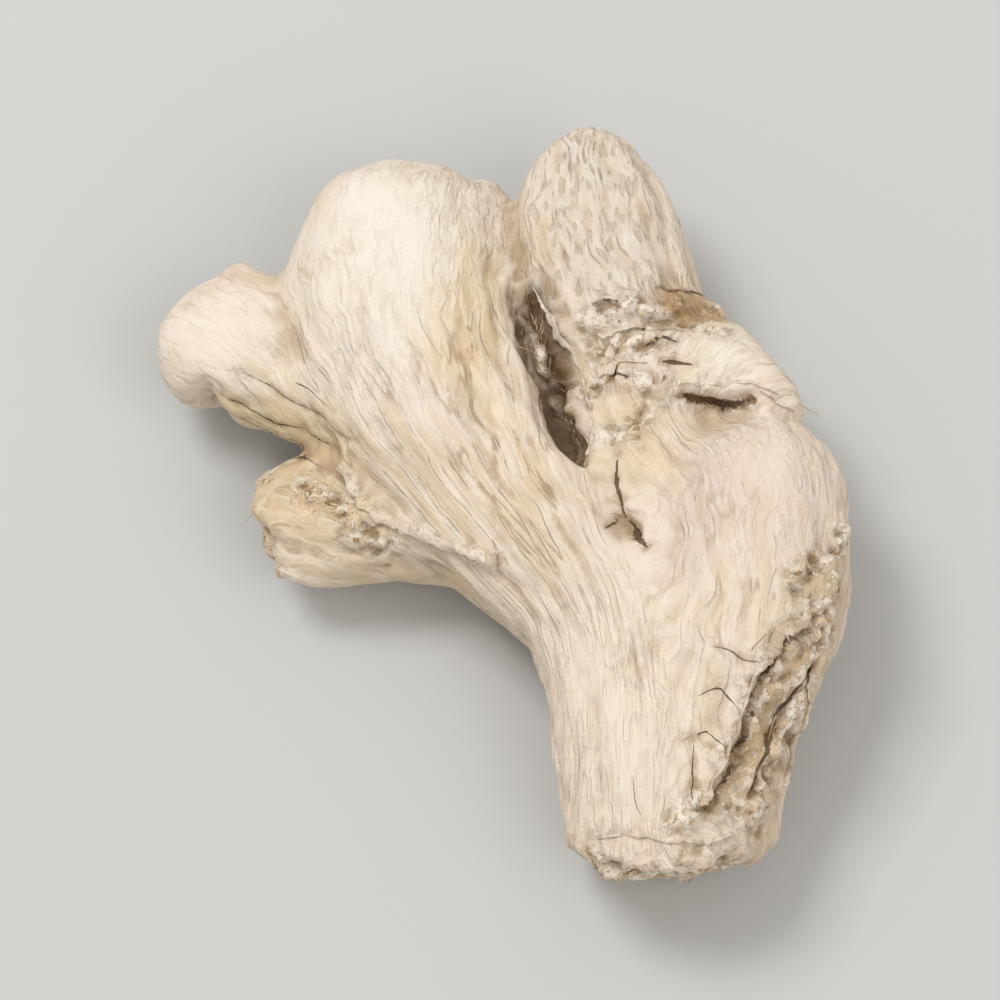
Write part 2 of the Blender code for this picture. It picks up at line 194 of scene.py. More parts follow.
def fine_skin(node):
    """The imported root's skin in millimetres, with small even faces in place of its facets."""
    bm = bmesh.new()
    bm.from_mesh(node.data)
    bmesh.ops.remove_doubles(bm, verts=bm.verts, dist=1e-7)
    bmesh.ops.scale(bm, vec=(1 / MM,) * 3, verts=bm.verts)
    coarse = bpy.data.meshes.new("coarse_skin")
    bm.to_mesh(coarse)
    bm.free()
    shape = bpy.data.objects.new("coarse_skin", coarse)
    bpy.context.scene.collection.objects.link(shape)
    remesh = shape.modifiers.new("even_faces", "REMESH")
    remesh.mode = "VOXEL"
    remesh.voxel_size = SKIN_VOXEL
    smooth = shape.modifiers.new("no_facets", "SMOOTH")
    smooth.factor = 0.5
    smooth.iterations = FACET_ROUNDS
    mesh = bpy.data.meshes.new_from_object(shape.evaluated_get(bpy.context.evaluated_depsgraph_get()))
    bpy.data.objects.remove(shape, do_unlink=True)
    return mesh


def scattered(cells, seed):
    """A number from 0 to 1 for each cell of a grid, without order."""
    x, y, z = cells.T
    mixed = (x * 73856093) ^ (y * 19349663) ^ (z * 83492791) ^ (seed * 2654435761)
    mixed = ((mixed ^ (mixed >> 13)) * 1274126177) & 0xFFFFFFFF
    return (mixed ^ (mixed >> 16)) / 0xFFFFFFFF


def lattice_noise(points, seed):
    """Smooth noise between -1 and 1 that changes over one unit of length."""
    cell = np.floor(points).astype(np.int64)
    share = points - cell
    share = share * share * share * (share * (share * 6 - 15) + 10)
    total = np.zeros(len(points))
    for corner in np.ndindex(2, 2, 2):
        value = 2 * scattered(cell + corner, seed) - 1
        total += np.prod(np.where(corner, share, 1 - share), axis=1) * value
    return total


def stepped(values):
    """Flat steps with steep sides, one for each unit of the values."""
    level = np.floor(values)
    return level + smooth_step(values - level, 0.0, 0.3)


def grain(points):
    """Direction of the fibres: along the nearest lobes, and flat to their skin."""
    along = np.zeros_like(points)
    outward = np.zeros_like(points)
    for line in LOBE_LINES:
        for start, end in zip(line, line[1:]):
            start, end = np.array(start, float), np.array(end, float)
            run = end[:3] - start[:3]
            away = points - LINES_FROM - start[:3]
            share = np.clip(away @ run / (run @ run), 0, 1)
            away -= share[:, None] * run
            radius = start[3] + share * (end[3] - start[3])
            gap = np.maximum(np.linalg.norm(away, axis=1) / radius, 0.2)
            weight = gap[:, None] ** -8
            along += weight * run / np.linalg.norm(run)
            outward += weight * away / (gap * radius)[:, None]
    outward /= np.linalg.norm(outward, axis=1)[:, None] + 1e-6
    along -= (along * outward).sum(axis=1)[:, None] * outward
    return along / (np.linalg.norm(along, axis=1)[:, None] + 1e-6)


def spread(ends, values, count):
    """Sums the values of the edges at their second ends, less those at their first ends."""
    return np.bincount(ends[:, 1], values, count) - np.bincount(ends[:, 0], values, count)


def settle(ends, steps, numbers, rounds):
    """Numbers for the points whose differences along the edges come nearest to the steps."""
    rest = spread(ends, steps - (numbers[ends[:, 1]] - numbers[ends[:, 0]]), len(numbers))
    way = rest.copy()
    size = rest @ rest
    for _ in range(rounds):
        pull = spread(ends, way[ends[:, 1]] - way[ends[:, 0]], len(numbers))
        share = size / (way @ pull)
        numbers = numbers + share * way
        rest = rest - share * pull
        new_size = rest @ rest
        way = rest + new_size / size * way
        size = new_size
    return numbers


def across_grain(points, normals, ends, fibres):
    """Grows by about one a millimetre across the grain and stays the same along it."""
    side = np.cross(fibres, normals) * np.tanh(normals[:, 2:] / 0.08)
    runs = points[ends[:, 1]] - points[ends[:, 0]]
    shares = [(runs * side[ends[:, end]]).sum(axis=1) for end in (0, 1)]
    weights = sum(np.bincount(ends[:, end], shares[end] ** 2, len(points)) for end in (0, 1))
    neighbours = np.bincount(ends.ravel(), minlength=len(points))
    slope = np.ones(len(points))
    across = points[:, 0] - points[:, 1]
    for rounds in (1200, 250, 250, 250):
        steps = sum(0.5 * shares[end] * slope[ends[:, end]] for end in (0, 1))
        across = settle(ends, steps, across, rounds)
        rise = across[ends[:, 1]] - across[ends[:, 0]]
        found = sum(np.bincount(ends[:, end], rise * shares[end], len(points)) for end in (0, 1))
        slope = np.clip(found / (weights + 1e-9), 0.5, 1.6)
        for _ in range(30):
            sums = np.bincount(ends[:, 0], slope[ends[:, 1]], len(points))
            sums += np.bincount(ends[:, 1], slope[ends[:, 0]], len(points))
            slope = sums / neighbours
    return across


def distance_to_line(points, line):
    nearest = np.full(len(points), np.inf)
    for start, end in zip(line, line[1:]):
        start, run = np.array(start), np.array(end) - np.array(start)
        share = np.clip((points - start) @ run / (run @ run), 0, 1)
        nearest = np.minimum(nearest, np.linalg.norm(points - start - share[:, None] * run, axis=1))
    return nearest


def near(points, line, reach):
    """From 0 far off to 1 on a place or a line."""
    if np.ndim(line) == 1:
        gap = np.linalg.norm(points - np.array(line), axis=1)
    else:
        gap = distance_to_line(points, line)
    return np.exp(-((gap / reach) ** 2))


def smooth_step(values, low, high):
    share = np.clip((values - low) / (high - low), 0, 1)
    return share * share * (3 - 2 * share)


def edge_ends(mesh):
    ends = np.empty(len(mesh.edges) * 2, np.int32)
    mesh.edges.foreach_get("vertices", ends)
    return ends.reshape(-1, 2)


def hollows(mesh, ends, rounds):
    """How far each point lies below the skin around it, in millimetres; less than 0 on ridges."""
    points = vertex_array(mesh)
    both = np.concatenate([ends, ends[:, ::-1]])
    neighbours = np.bincount(both[:, 0], minlength=len(points))
    soft = points
    for _ in range(rounds):
        sums = [np.bincount(both[:, 0], soft[both[:, 1], axis], len(points)) for axis in range(3)]
        soft = np.stack(sums, axis=1) / neighbours[:, None]
    return ((soft - points) * normal_array(mesh)).sum(axis=1)


root_mesh = fine_skin(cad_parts["ginger_root"])
root_mesh.name = "root_skin"
points, normals = vertex_array(root_mesh), normal_array(root_mesh)
ends = edge_ends(root_mesh)
fibres = grain(points)
across = across_grain(points, normals, ends, fibres)
across += 0.25 * lattice_noise(points / 3.0, 26) + 0.08 * lattice_noise(points / 1.1, 27)


def drawn_out(width, length, seed):
    """Noise between -1 and 1 that changes over the width across the grain and the length along it."""
    place = points / length
    place[:, 0] += across / width
    return lattice_noise(place, seed)


# How smooth the skin is, from 0 to 1, and where it is finely pitted.
SMOOTH_PLACES = [
    ([(-12.0, 28.0, 17.5), (-10.0, 21.0, 19.0)], 8.5, 1.0),
    ([(-10.0, 16.0, 19.0), (-12.0, 12.0, 18.0)], 5.0, 0.6),
    ((-26.5, 15.5, 14.0), 7.0, 1.0),
    ((24.5, 0.5, 18.5), 6.0, 0.9),
    ((24.0, -6.0, 19.0), 5.0, 0.5),
    ((21.0, 12.8, 16.0), 3.0, 1.0),
    ([(13.5, 1.5, 15.0), (15.5, -2.5, 16.0)], 3.0, 0.85),
    ([(9.0, -19.0, 15.0), (13.5, -31.0, 15.2)], 5.5, 0.7),
    ([(16.0, -13.0, 17.5), (15.0, -24.0, 16.5)], 5.0, 0.65),
]
smooth = np.zeros(len(points))
for line, reach, strength in SMOOTH_PLACES:
    smooth = np.maximum(smooth, strength * near(points, line, reach))
pitted = near(points, [(7.5, 33.0, 15.0), (10.5, 22.0, 13.0)], 8.0)
striped = np.maximum.reduce(
    [
        near(
            points,
            [(-1.5, 21.0, 15.5), (-2.5, 12.0, 18.3), (-0.5, 5.5, 17.8), (3.0, -1.0, 16.0)],
            3.0,
        ),
        0.6 * near(points, [(-8.0, 3.0, 17.0), (4.0, -6.0, 17.0)], 5.0),
        near(points, [(-24.0, 9.5, 10.5), (-15.0, 3.5, 11.0)], 3.6),
        0.5 * near(points, [(16.0, -4.0, 16.5), (22.0, -12.0, 18.5)], 5.0),
        0.7 * near(points, (-20.0, -1.0, 8.5), 7.0),
    ]
)
ragged = 0.6 + 0.8 * np.abs(lattice_noise(points / 2.2, 41))
scar = np.zeros(len(points))
chip_height = np.zeros(len(points))
for reach, height, line in SCARS.values():
    strength = near(points, line, reach * ragged)
    chip_height = np.where(strength > scar, height, chip_height)
    scar = np.maximum(scar, strength)
scar *= 1 - 0.5 * near(points, (18.8, 18.6, 14.5), 1.8)
cleft = near(points, CLEFT, 2.3)

# Folds and finer lines along the grain, in millimetres. The underside of the knob is drawn into
# deeper ones.
FOLD_DEPTH = 0.20
LINE_DEPTH = 0.15
KNOB_FOLD_DEPTH = 0.45
PIT_DEPTH = 0.16
knob_folds = near(points, [(-26.5, 10.5, 11.0), (-21.0, 8.6, 10.6), (-14.5, 4.2, 13.2)], 2.8)
smooth *= 1 - 0.9 * knob_folds
folds = drawn_out(2.0, 11.0, 21) + 0.6 * drawn_out(1.1, 6.0, 24)
lines = drawn_out(1.3, 9.0, 22) + 0.5 * drawn_out(0.8, 4.0, 25)
fold_depth = FOLD_DEPTH * (1 - 0.75 * smooth) * (1 - scar)
line_depth = LINE_DEPTH * (1 + striped) * (1 - 0.70 * smooth) * (1 - 0.7 * scar)
relief = fold_depth * np.tanh(1.5 * folds) - line_depth * smooth_step(lines, 0.1, 0.7)
relief += 0.05 * lattice_noise(points / 1.9, 28) + 0.045 * lattice_noise(points / 0.95, 29)
relief -= KNOB_FOLD_DEPTH * knob_folds * smooth_step(drawn_out(1.1, 9.0, 31), -0.1, 0.35)
pits = drawn_out(0.75, 3.0, 23)
relief -= PIT_DEPTH * pitted * smooth_step(pits, 0.2, 0.6)

# Torn layers of dead scale in the scars and the cleft.
rough = (scar > 0.03) | (cleft > 0.03)
torn_points = points[rough]
layer = lattice_noise(torn_points / 1.7, 61) + 0.6 * lattice_noise(torn_points / 0.85, 62)
layer = 1.3 * stepped(2.6 * layer) / 2.6
layer = layer + 0.4 * lattice_noise(torn_points / 0.7, 63) + 0.35 * lines[rough]
relief[rough] += (scar * chip_height + 0.30 * cleft)[rough] * layer
relief += 0.7 * near(points, CREASES["cleft_lip"][-1], 1.2) * lattice_noise(points / 1.7, 43)

# Creases and raised edges, which wander to both sides of their lines and change in width.
crease_width = 0.6 + 1.0 * np.abs(lattice_noise(points / 1.1, 42))
wander = 0.4 * np.stack([lattice_noise(points / 2.2, seed) for seed in (44, 45, 46)], axis=1)
for reach, depth, _, line in CREASES.values():
    relief -= depth * near(points + wander, line, reach * crease_width)


def cracks(points):
    """How far each point is to the side of a crack, in half widths of it, and how open the crack is."""
    side, opening, closest = (np.full(len(points), value) for value in (12.0, -0.5, 1.8))
    for _, _, width, line in CREASES.values():
        if width == 0:
            continue
        runs = np.diff(line, axis=0)
        lengths = np.linalg.norm(runs, axis=1)
        for number, (start, run, length) in enumerate(zip(line, runs, lengths)):
            share = np.clip((points - start) @ run / length**2, 0, 1)
            away = points - start - share[:, None] * run
            gap = np.linalg.norm(away, axis=1)
            closer = gap < closest
            closest[closer] = gap[closer]
            beside = (away * np.cross(run / length, normals)).sum(axis=1) / (0.5 * width)
            side[closer] = np.clip(beside, -12, 12)[closer]
            along = (lengths[:number].sum() + share * length) / lengths.sum()
            open_here = 1.3 * np.sqrt(np.sin(np.pi * along).clip(0, 1)) - 0.3
            opening[closer] = (open_here - 2.0 * smooth_step(gap, 0.7, 1.6))[closer]
    return side, opening


points = points + normals * relief[:, None]
crack_side, crack_open = cracks(points + wander)
INSIDE_BOX = 0.005
low, high = (np.array(corner) / MM for corner in solid_box)
low, high = low + INSIDE_BOX, high - INSIDE_BOX
points = np.clip(points, low, high)
set_vertices(root_mesh, points)
FINE_ROUNDS = 7
WIDE_ROUNDS = 80
fine_hollow = hollows(root_mesh, ends, FINE_ROUNDS)
wide_hollow = hollows(root_mesh, ends, WIDE_ROUNDS)

# Stains and worn places, and painted shade in the neck notch and along the folds under the knob: the
# place or line, how far it reaches, its colour and its strength.
CREAM = (0.765, 0.658, 0.542)
# The cleft's colour: its brown torn inside, darkened as painted shade.
CLEFT_BROWN_AND_SHADE = (0.055, 0.029, 0.013)
STAINS_AND_SHADE = [
    ([(-12.0, 27.0, 17.5), (-9.0, 18.0, 19.0)], 9.0, (0.80, 0.735, 0.655), 0.85),
    ((-25.5, 15.5, 14.0), 7.0, (0.79, 0.695, 0.60), 0.80),
    ([(-2.5, 21.0, 15.5), (-3.5, 12.0, 18.3), (-1.0, 5.5, 17.8)], 3.0, (0.75, 0.60, 0.385), 0.75),
    ([(-6.0, 18.0, 18.5), (-6.0, 11.0, 18.8)], 1.6, (0.74, 0.60, 0.42), 0.50),
    ((-17.8, 18.0, 16.0), 3.0, (0.77, 0.71, 0.56), 0.60),
    ([(-11.5, 7.5, 18.0), (-3.5, 5.0, 18.2)], 4.5, (0.79, 0.70, 0.63), 0.55),
    ([(9.4, -29.0, 14.8), (9.6, -17.0, 15.6)], 4.5, (0.81, 0.735, 0.645), 0.60),
    # Painted shade along the folds under the knob.
    ([(-26.2, 10.6, 9.8), (-21.5, 8.4, 9.2), (-16.0, 4.4, 11.8)], 1.6, (0.62, 0.54, 0.36), 0.35),
    ((-25.4, 23.2, 11.4), 2.6, (0.70, 0.53, 0.47), 0.65),
    ([(7.0, 31.0, 16.5), (10.5, 22.0, 16.0)], 6.5, (0.68, 0.61, 0.53), 0.75),
    ((6.0, 32.8, 17.3), 0.9, (0.33, 0.30, 0.28), 0.70),
    ((24.5, -1.5, 19.0), 7.5, (0.72, 0.605, 0.545), 0.80),
    ([(19.5, -1.0, 17.0), (17.5, -8.0, 17.0)], 3.0, (0.62, 0.50, 0.46), 0.60),
    ([(13.9, 3.5, 14.5), (12.5, 8.0, 14.5)], 3.0, (0.74, 0.58, 0.39), 0.70),
    # Painted shade in the neck notch.
    ([(11.5, -3.6, 13.9), (12.4, -4.8, 14.3)], 1.5, (0.25, 0.16, 0.08), 0.90),
    ([(4.0, 12.4, 13.8), (6.0, 7.0, 12.8)], 1.8, (0.56, 0.42, 0.25), 0.60),
    ((21.0, 12.8, 16.0), 3.2, (0.82, 0.755, 0.66), 0.85),
    ([(10.0, -20.0, 15.0), (13.0, -31.0, 15.0)], 5.0, (0.78, 0.68, 0.54), 0.60),
    ([(17.4, 18.5, 15.4), (19.9, 18.8, 13.7)], 2.1, (0.43, 0.27, 0.13), 2.00),
    # Painted shade along the folds under the knob, darker and wider.
    ([(-26.0, 10.5, 10.0), (-21.0, 8.4, 10.4), (-15.0, 4.2, 12.6)], 2.4, (0.56, 0.46, 0.28), 0.65),
    ((4.2, -7.4, 16.4), 2.2, (0.58, 0.49, 0.33), 0.50),
    ([(-18.5, 1.0, 11.2), (-13.5, -2.0, 12.0)], 3.4, (0.67, 0.50, 0.30), 0.70),
    ([(-20.0, 6.5, 8.5), (-11.0, -6.0, 7.0), (-2.0, -9.8, 8.5)], 3.6, (0.54, 0.41, 0.25), 0.60),
    ((29.3, -10.7, 17.6), 2.8, (0.50, 0.39, 0.23), 0.75),
    ([(31.0, -9.0, 14.0), (27.0, -20.0, 13.5), (24.0, -31.0, 12.0)], 3.4, (0.60, 0.45, 0.29), 0.70),
    ([(28.2, -16.4, 15.2), (25.6, -19.8, 15.6), (23.9, -24.6, 14.6),
      (21.6, -29.6, 14.6)], 1.7, (0.50, 0.34, 0.18), 0.75),
    (CREASES["seam_groove"][-1], 1.0, (0.28, 0.16, 0.07), 0.82),
    (CREASES["seam_sliver"][-1], 0.8, (0.80, 0.71, 0.58), 0.80),
    ([(9.0, -36.0, 7.0), (21.0, -36.0, 7.0)], 5.5, (0.55, 0.40, 0.23), 0.65),
    ((-23.0, -0.5, 6.0), 4.5, (0.56, 0.40, 0.23), 0.75),
]
tint = np.tile(CREAM, (len(points), 1))
for line, reach, colour, strength in STAINS_AND_SHADE:
    cover = np.minimum(strength * near(points, line, reach), 1)[:, None]
    tint = tint * (1 - cover) + cover * np.array(colour)
skin_tint = tint
# The cleft: its torn inside is brown, and painted shade darkens it more the deeper it lies.
depth_in_cleft = near(points, CLEFT, 3.0) * smooth_step(wide_hollow, 0.1, 0.9)
depth_in_cleft = np.maximum(depth_in_cleft, near(points, CREASES["cleft_core"][-1], 1.5))[:, None]
tint = tint * (1 - depth_in_cleft) + depth_in_cleft * np.array(CLEFT_BROWN_AND_SHADE)


def keep_numbers(mesh, name, values):
    """Stores one number a point, for the material and the scatter to read."""
    mesh.attributes.new(name, "FLOAT", "POINT").data.foreach_set("value", values.astype(np.float32))


def keep_triples(mesh, name, kind, values):
    """Stores a colour or a direction a point."""
    values = np.asarray(values, np.float32)
    if kind == "FLOAT_COLOR":
        values = np.concatenate([values, np.ones((len(values), 1), np.float32)], axis=1)
    field = "color" if kind == "FLOAT_COLOR" else "vector"
    mesh.attributes.new(name, kind, "POINT").data.foreach_set(field, values.ravel())


keep_triples(root_mesh, "tint", "FLOAT_COLOR", tint)
keep_triples(root_mesh, "fibres", "FLOAT_VECTOR", fibres)

# Where strands and crumbs stick out: nowhere on the underside, which the root lies on.
LEAST_LOOSE_CHIP = 0.37
above_the_floor = points[:, 2] > 1.5
torn = np.maximum(near(points, CLEFT, 1.8), near(points, (27.4, 8.2, 13.6), 1.0))
torn = np.maximum(torn, 0.05 * scar)
patches = smooth_step(lattice_noise(points / 1.8, 44), -0.2, 0.3)
loose = scar**1.5 * (chip_height > LEAST_LOOSE_CHIP) * patches
loose *= (1 - near(points, (18.4, 18.7, 14.7), 2.4)) * (1 - near(points, CLEFT, 2.4))
for name, values in {
    "across": across,
    "crack_side": crack_side,
    "crack_open": crack_open,
    "dark": 1 - smooth_step(tint[:, 1], 0.22, 0.46),
    "depth_in_cleft": depth_in_cleft[:, 0],
    "fine_hollow": np.clip((fine_hollow - 0.01) / 0.15, 0, 1),
    "wide_hollow": smooth_step(wide_hollow, 0.05, 0.9),
    "scar": scar,
    "smooth": smooth,
    "striped": striped,
    "pitted": pitted,
    "torn": torn * above_the_floor,
    "crumbly": loose * above_the_floor,
}.items():
    keep_numbers(root_mesh, name, values)
set_vertices(root_mesh, points * MM)
root_mesh.shade_smooth()


class Paint:
    """A socket of a shader, so that sums on it read as plain Python."""

    def __init__(self, tree, socket=None):
        self.tree = tree
        self.socket = socket

    def node(self, kind, settings=None, inputs=None, out=0):
        """Adds a node of that kind and gives its output as Paint."""
        made = self.tree.nodes.new(kind)
        for name, value in (settings or {}).items():
            if name == "stops":
                while len(made.color_ramp.elements) < len(value):
                    made.color_ramp.elements.new(0.5)
                for stop, (place, colour) in zip(made.color_ramp.elements, value):
                    stop.position = place
                    stop.color = (*colour, 1.0)
            else:
                setattr(made, name, value)
        for name, value in (inputs or {}).items():
            if isinstance(value, Paint):
                self.tree.links.new(value.socket, made.inputs[name])
            else:
                made.inputs[name].default_value = value
        return Paint(self.tree, made.outputs[out])

    def math(self, how, first, second=0.0, clamp=False):
        settings = {"operation": how, "use_clamp": clamp}
        return self.node("ShaderNodeMath", settings, {0: first, 1: second})

    def __add__(self, other):
        return self.math("ADD", self, other)

    __radd__ = __add__

    def __sub__(self, other):
        return self.math("SUBTRACT", self, other)

    def __rsub__(self, other):
        return self.math("SUBTRACT", other, self)

    def __mul__(self, other):
        return self.math("MULTIPLY", self, other)

    __rmul__ = __mul__

    def clamped(self):
        return self.math("ADD", self, 0.0, clamp=True)

    def step(self, low, high):
        """0 below low, 1 above high, and smooth between."""
        values = {"Value": self, "From Min": low, "From Max": high}
        return self.node("ShaderNodeMapRange", {"interpolation_type": "SMOOTHSTEP"}, values)

    def mixed(self, share, other):
        """This colour, with a share of another."""
        return self.node("ShaderNodeMix", {"data_type": "RGBA"}, {0: share, 6: self, 7: other}, out=2)

    def own(self, name, out="Color"):
        """A value kept on the mesh."""
        return self.node("ShaderNodeAttribute", {"attribute_name": name}, out=out)

    def noise(self, place, size_mm, detail, roughness):
        """Noise from 0 to 1 that changes over about that many millimetres."""
        values = {"Vector": place, "Scale": 1 / (size_mm * MM)}
        return self.node("ShaderNodeTexNoise", None, {**values, "Detail": detail, "Roughness": roughness})


def root_material():
    """Chalky cream skin: stained, darker in its creases, with painted shade in its hollows, cracks and
    cleft, finely fibrous and matt.
    """
    material = bpy.data.materials.new("dried_ginger_skin")
    material.use_nodes = True
    tree = material.node_tree
    shader = tree.nodes["Principled BSDF"]
    paint = Paint(tree)
    place = paint.node("ShaderNodeTexCoord", out="Object")

    across = paint.own("across", "Fac")
    fine_hollow = paint.own("fine_hollow", "Fac")
    wide_hollow = paint.own("wide_hollow", "Fac")
    scar = paint.own("scar", "Fac")
    smooth = paint.own("smooth", "Fac")
    pitted = paint.own("pitted", "Fac")
    striped = paint.own("striped", "Fac")
    pale = 1.0 - paint.own("dark", "Fac")

    def drawn_out(width_mm, length_mm, detail):
        """Noise in streaks of that width and length along the grain."""
        sideways = paint.node("ShaderNodeCombineXYZ", None, {0: across * (1 / width_mm)})
        values = {0: place, 1: (1 / (length_mm * MM),) * 3, 2: sideways}
        place_across = paint.node("ShaderNodeVectorMath", {"operation": "MULTIPLY_ADD"}, values)
        values = {"Vector": place_across, "Scale": 1.0, "Detail": detail}
        return paint.node("ShaderNodeTexNoise", None, values)

    blotch = paint.noise(place, 6.0, 3.0, 0.55)
    worn = paint.noise(place, 2.6, 3.0, 0.6)
    lines = drawn_out(1.25, 12.0, 2.0)
    creases = (1.0 - lines.math("ABSOLUTE", lines - 0.5).step(0.0, 0.035)) * worn.step(0.36, 0.60)
    threads = drawn_out(0.42, 5.0, 2.0)
    hairs = drawn_out(0.20, 3.0, 2.0)
    dashes = drawn_out(0.32, 1.7, 1.0).step(0.56, 0.66)
    chalk = paint.noise(place, 0.30, 5.0, 0.70)
    mottle = paint.noise(place, 1.1, 4.0, 0.6)

    # Cracks, wide where they are most open, with ragged edges; their dark colour is painted shade.
    jags = paint.noise(place, 0.45, 2.0, 0.5) - 0.5
    beside = paint.math("ABSOLUTE", paint.own("crack_side", "Fac"))
    crack = (paint.own("crack_open", "Fac") - beside + 1.6 * jags).step(0.0, 0.45)
    stripes = drawn_out(0.9, 7.0, 1.0)

    # Short wrinkles, mostly along the grain, where the skin is neither quite smooth nor lined.
    net = drawn_out(0.8, 3.0, 3.0)
    wrinkles = 1.0 - paint.math("ABSOLUTE", net - 0.5).step(0.0, 0.05)
    wrinkles = wrinkles * smooth * (1.0 - smooth) * 4.0 * blotch.step(0.35, 0.55)

    # Torn layers of the scars, as flat steps with crisp edges; the deeper ones are browner.
    layer = 6.0 * paint.noise(place, 1.3, 5.0, 0.55)
    level = layer.math("FLOOR", layer)
    layers = level + (layer - level).step(0.0, 0.18)

    marked = (1.0 - 0.85 * smooth) * (1.0 - 0.6 * scar)
    lined = (0.1 + 0.9 * marked) * (1.0 + striped)
    # In the scars: brown mottling, and painted shade in their fine hollows.
    scar_brown_and_shade = scar * (0.30 * mottle.step(0.48, 0.64) + 0.70 * fine_hollow)
    # Painted shade deep in the cleft, over its brown torn inside.
    deep = paint.own("depth_in_cleft", "Fac") * (0.50 + 0.45 * mottle.step(0.40, 0.60))

    # The coats of colour over the stains, from the bottom up, with painted shade among them: the share
    # that each covers, and its colour.
    coats = [
        (blotch.step(0.45, 0.68) * 0.25, (0.70, 0.59, 0.44)),
        (worn.step(0.48, 0.66) * pale * 0.35, (0.80, 0.735, 0.66)),
        (stripes.step(0.50, 0.60) * striped * 0.50, (0.62, 0.45, 0.23)),
        (chalk.step(0.52, 0.70) * 0.30, (0.60, 0.48, 0.34)),
        (threads.step(0.50, 0.68) * marked * 0.40, (0.55, 0.43, 0.29)),
        (hairs.step(0.52, 0.70) * (0.15 + 0.25 * marked), (0.55, 0.43, 0.29)),
        (lines.step(0.52, 0.64) * lined * 0.30, (0.58, 0.44, 0.25)),
        (wrinkles * 0.13, (0.50, 0.38, 0.24)),
        (creases * lined * 0.45, (0.38, 0.265, 0.15)),
        (dashes * (0.10 * marked + 0.50 * pitted), (0.42, 0.33, 0.23)),
        # Painted shade: the broad and the fine hollows of the skin darkened in colour.
        (wide_hollow * 0.40, (0.48, 0.35, 0.21)),
        (fine_hollow * (0.65 - 0.35 * smooth), (0.36, 0.25, 0.145)),
        (scar * layers.step(3.0, 4.5) * (0.20 + 0.55 * pale), (0.86, 0.79, 0.68)),
        (scar * (1.0 - layers.step(2.0, 3.2)) * 0.85, (0.38, 0.245, 0.12)),
        (scar_brown_and_shade.clamped(), (0.25, 0.15, 0.07)),
        (deep, (0.095, 0.047, 0.018)),
        # Painted shade in the open cracks.
        (crack * 0.88, (0.10, 0.056, 0.025)),
    ]
    colour = paint.own("tint")
    for share, shade in coats:
        colour = colour.mixed(share, (*shade, 1.0))
    tree.links.new(colour.socket, shader.inputs["Base Color"])

    roughness = 0.80 + 0.16 * chalk
    tree.links.new(roughness.socket, shader.inputs["Roughness"])
    height = (1.3 * threads + 0.9 * hairs - 0.6 * creases + 0.9 * lines) * (0.25 + 0.75 * marked)
    height = height - 0.6 * dashes * (0.2 * marked + pitted) + 0.7 * chalk
    height = height + scar * (1.1 * layers + 0.8 * mottle) + stripes * striped
    height = height - 0.35 * wrinkles - 2.0 * crack
    bump = tree.nodes.new("ShaderNodeBump")
    bump.inputs["Strength"].default_value = 0.85
    bump.inputs["Distance"].default_value = 0.22 * MM
    tree.links.new(height.socket, bump.inputs["Height"])
    tree.links.new(bump.outputs["Normal"], shader.inputs["Normal"])
    shader.inputs["Specular IOR Level"].default_value = 0.25
    return material


skin_material = root_material()
root_mesh.materials.clear()
root_mesh.materials.append(skin_material)
root_skin = bpy.data.objects.new("root_skin", root_mesh)
bpy.context.scene.collection.objects.link(root_skin)
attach(root_skin, "root")
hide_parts("ginger_root")

# Torn skin: thin shreds that stayed on when the skin tore, at the flap, round the collar, along the
# cleft and the seam, and at the foot. They are chalky like the skin, with ragged free edges.
# Each has its width, how far its free edge stands up, the side that it is free on, and its line.
SHREDS = [
    (1.7, 0.1, 1, [
        (16.6, 10.3, 15.6), (19.0, 10.5, 14.9), (21.0, 10.4, 14.6), (23.8, 10.5, 15.0),
        (26.2, 9.4, 14.6)]),
    (0.9, 0.3, 1, [(24.4, 9.8, 14.9), (26.2, 8.9, 14.4), (27.9, 8.0, 13.6)]),
    (0.8, 0.2, -1, [
        (13.6, 15.6, 15.6), (15.6, 15.8, 15.6), (17.6, 15.6, 15.4), (19.8, 15.9, 15.4),
        (21.6, 15.3, 15.2)]),
    (0.7, 0.2, 1, [(14.8, 20.2, 16.4), (17.2, 21.0, 14.8), (19.8, 21.2, 12.0)]),
    (1.4, 0.2, 1, [(8.4, 18.6, 15.4), (11.0, 19.3, 16.2), (13.6, 19.6, 16.6)]),
    (1.2, 0.2, 1, [(9.0, 15.4, 14.9), (12.0, 15.9, 15.5), (14.4, 16.0, 15.7)]),
    (1.3, 0.2, 1, [(8.8, 12.0, 14.6), (11.2, 12.7, 15.2), (14.0, 12.2, 15.7)]),
    (0.9, 0.1, 1, [
        (2.4, 22.8, 13.9), (4.2, 19.0, 13.9), (6.0, 15.8, 13.6), (7.6, 11.5, 14.3), (8.6, 8.0, 14.2)]),
    (1.0, 0.1, 1, [(8.4, 9.0, 14.2), (9.0, 6.0, 13.9), (9.2, 3.2, 13.6)]),
    (1.2, 0.2, -1, [
        (29.0, -13.6, 16.6), (25.6, -15.4, 17.8), (23.4, -20.3, 17.6), (22.0, -24.6, 15.9)]),
    (1.1, 0.2, -1, [(22.4, -23.6, 16.2), (20.0, -28.8, 15.9), (18.0, -32.0, 15.3)]),
    (1.3, 0.5, 1, [(28.8, -17.8, 14.3), (27.8, -21.6, 13.0), (26.9, -24.3, 10.6), (25.9, -28.3, 10.0)]),
    (1.1, 0.1, 1, [(9.0, -33.8, 12.5), (12.5, -34.0, 13.8), (16.5, -34.0, 14.0), (20.8, -33.4, 13.0)]),
    (0.8, 0.0, 1, [(-15.3, 3.2, 12.7), (-11.3, -2.3, 12.7), (-6.4, -4.8, 14.0), (-1.8, -7.4, 15.2)]),
]
SHRED_STEP = 0.22
SHRED_THICKNESS = 0.26


def soft_row(values):
    """The row of values, each replaced by the mean of five in a row."""
    padded = np.concatenate([values[:1], values[:1], values, values[-1:], values[-1:]])
    return sum(padded[start : start + len(values)] for start in range(5)) / 5


